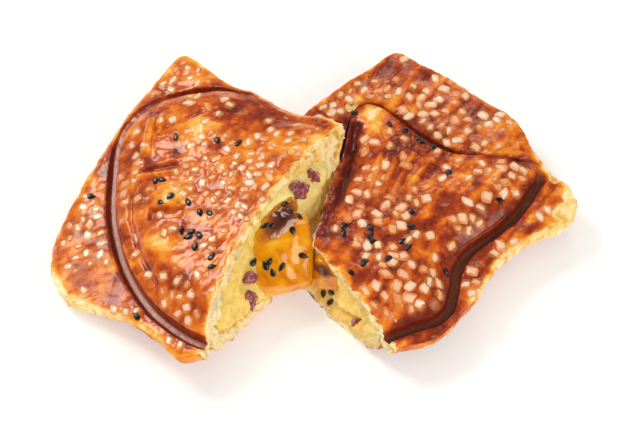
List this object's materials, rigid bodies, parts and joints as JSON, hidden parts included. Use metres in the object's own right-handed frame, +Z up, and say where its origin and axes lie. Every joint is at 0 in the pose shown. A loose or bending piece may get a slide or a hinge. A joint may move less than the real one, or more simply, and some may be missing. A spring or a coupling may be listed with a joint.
{
  "type": "taiyaki",
  "caption": "Croissant taiyaki: a fish pressed in a rectangular sheet of flaky dough, torn across the middle to show its sweet potato filling.",
  "frame": {"origin": "bottom centre of the whole, on the surface that it lies on", "axes": "+X from the head half to the tail half, the long way; +Y towards the fish's back; +Z up"},
  "size_m": [0.1702, 0.1198, 0.0293],
  "materials": {
    "baked_crust": null,
    "sweet_potato_paste": "moist, matt yellow paste",
    "glazed_sweet_potato": "wet, translucent candied orange",
    "purple_sweet_potato": "moist purple-red",
    "pearl_sugar": "translucent pale amber lumps, glazed in; only on the visual model",
    "black_sesame": "black seeds with a faint sheen; only on the visual model"
  },
  "bodies": {
    "root": {"head_crust": "baked_crust", "tail_crust": "baked_crust", "head_filling": "sweet_potato_paste", "tail_filling": "sweet_potato_paste", "head_chunk": "glazed_sweet_potato", "tail_chunk": "glazed_sweet_potato", "purple_bit_1": "purple_sweet_potato", "purple_bit_2": "purple_sweet_potato", "purple_bit_3": "purple_sweet_potato", "purple_bit_4": "purple_sweet_potato", "purple_bit_5": "purple_sweet_potato"}
  },
  "joints": []
}
